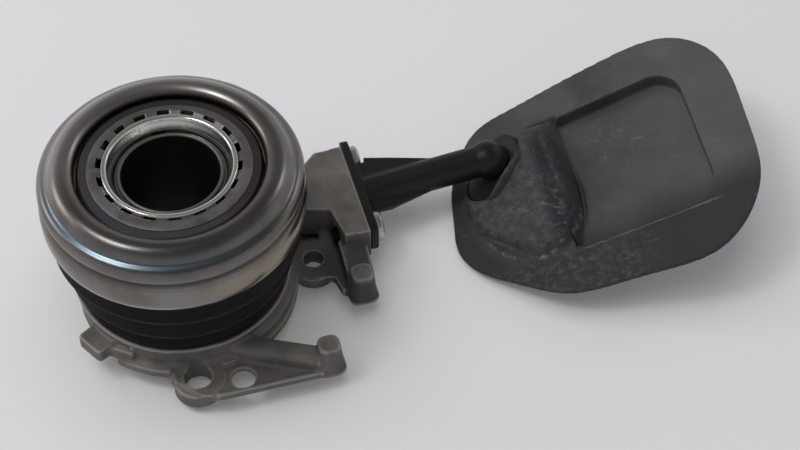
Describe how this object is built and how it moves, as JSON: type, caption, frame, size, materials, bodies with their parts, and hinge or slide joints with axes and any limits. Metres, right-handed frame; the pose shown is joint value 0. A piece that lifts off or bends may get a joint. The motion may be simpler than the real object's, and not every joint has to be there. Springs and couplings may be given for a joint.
{
  "type": "clutch release bearing",
  "caption": "Hydraulic concentric clutch release bearing with a cast housing, rubber bellows, screwed-on plastic inlet pipe and a rubber boot.",
  "frame": {"origin": "on the bearing axis, in the mounting face under the bolt ears", "axes": "+Z along the bearing axis towards the clutch, +X the way the inlet port faces"},
  "size_m": [0.222, 0.0877, 0.0645],
  "materials": {
    "cast_aluminium": "matt as-cast",
    "tube_steel": "dark, oiled",
    "spring_steel": "oiled",
    "seal_rubber": "matt",
    "piston_plastic": "satin",
    "carrier_plastic": "satin",
    "bellows_rubber": "matt, dusty",
    "race_steel": "ground, tinted",
    "ball_steel": "polished",
    "cage_plastic": "natural nylon",
    "cover_steel": "bright worn, heat tinted",
    "washer_steel": "dark satin",
    "bright_zinc": "bright",
    "pipe_plastic": "semi-gloss black",
    "boot_rubber": "matt, chalky scuffs",
    "screw_zinc": "bright zinc"
  },
  "bodies": {
    "housing_body": {"housing": "cast_aluminium", "guide_tube": "tube_steel", "stop_ring": "spring_steel", "base_seal_ring": "seal_rubber", "inlet_pipe": "pipe_plastic", "port_seal_ring": "seal_rubber", "connector_seal_ring": "seal_rubber", "connector_clip": "spring_steel", "rubber_boot": "boot_rubber", "flange_screw_upper": "screw_zinc", "flange_screw_lower": "screw_zinc", "bellows": "bellows_rubber", "preload_spring": "spring_steel"},
    "release_carrier": {"piston": "piston_plastic", "piston_seal": "seal_rubber", "bearing_carrier": "carrier_plastic", "bearing_sleeve": "bright_zinc", "inner_race": "race_steel", "slotted_washer": "washer_steel", "spring_washer": "spring_steel"},
    "bearing_outer": {"bearing_cover": "cover_steel", "outer_race": "race_steel", "lower_seal": "seal_rubber"},
    "ball_set": {"ball_cage": "cage_plastic", "balls": "ball_steel"}
  },
  "joints": [
    {"name": "release_slide", "type": "slide", "parent": "housing_body", "child": "release_carrier", "axis": [0, 0, 1], "range_m": [-0.012, 0], "stiffness_N_per_m": 2000, "springref_m": 0.02, "deforming": ["bellows", "preload_spring"]},
    {"name": "cover_spin", "type": "hinge", "parent": "release_carrier", "child": "bearing_outer", "pos_m": [0, 0, 0.05], "axis": [0, 0, 1], "continuous": true},
    {"name": "cage_spin", "type": "hinge", "parent": "release_carrier", "child": "ball_set", "pos_m": [0, 0, 0.05], "axis": [0, 0, 1], "continuous": true}
  ],
  "couplings": [
    {"joint": "cage_spin", "follows": "cover_spin", "ratio": 0.547}
  ]
}
